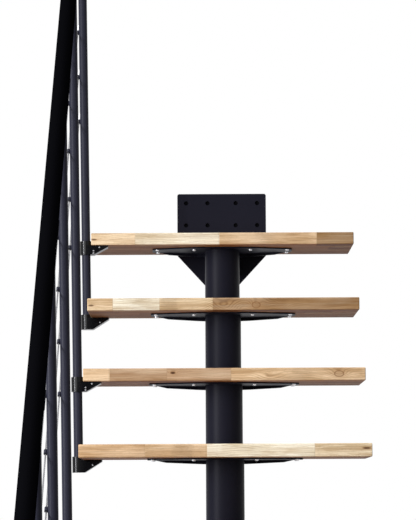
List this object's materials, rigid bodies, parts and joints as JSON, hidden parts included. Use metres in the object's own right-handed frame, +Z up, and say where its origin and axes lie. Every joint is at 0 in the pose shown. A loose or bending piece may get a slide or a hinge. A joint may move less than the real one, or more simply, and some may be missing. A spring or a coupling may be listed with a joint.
{
  "type": "straight central-spine staircase",
  "caption": "Straight open-riser stair: wooden treads on a bolted central steel spine of stacked modules, wall plate at the top, one-sided wire railing.",
  "frame": {"origin": "centre of the floor flange's underside, on the axis of the lowest spine tube", "axes": "+Z up, the flight climbs towards +Y, +X is the side without a railing"},
  "size_m": [0.8142, 2.625, 3.8487],
  "materials": {
    "tread_wood": "stave-glued light hardwood, satin lacquer",
    "spine_steel": "near-black fine-texture powder coat",
    "post_steel": "near-black satin powder coat",
    "clamp_plastic": "glossy black moulded plastic",
    "rail_black": "matte black coating on a round tube",
    "wire": "stranded stainless wire rope"
  },
  "bodies": {
    "root": {"tread_01": "tread_wood", "tread_02": "tread_wood", "tread_03": "tread_wood", "tread_04": "tread_wood", "tread_05": "tread_wood", "tread_06": "tread_wood", "tread_07": "tread_wood", "tread_08": "tread_wood", "tread_09": "tread_wood", "tread_10": "tread_wood", "tread_11": "tread_wood", "tread_12": "tread_wood", "spine_module_01": "spine_steel", "spine_module_02": "spine_steel", "spine_module_03": "spine_steel", "spine_module_04": "spine_steel", "spine_module_05": "spine_steel", "spine_module_06": "spine_steel", "spine_module_07": "spine_steel", "spine_module_08": "spine_steel", "spine_module_09": "spine_steel", "spine_module_10": "spine_steel", "spine_module_11": "spine_steel", "spine_module_12": "spine_steel", "floor_flange": "spine_steel", "wall_plate": "spine_steel", "post_1": "post_steel", "post_2": "post_steel", "post_3": "post_steel", "post_4": "post_steel", "post_5": "post_steel", "post_6": "post_steel", "post_clamps_1": "clamp_plastic", "post_clamps_2": "clamp_plastic", "post_clamps_3": "clamp_plastic", "post_clamps_4": "clamp_plastic", "post_clamps_5": "clamp_plastic", "post_clamps_6": "clamp_plastic", "handrail": "rail_black", "rail_caps": "clamp_plastic", "rail_saddles": "post_steel", "wire_ropes": "wire", "wire_stops": "wire"}
  },
  "joints": []
}
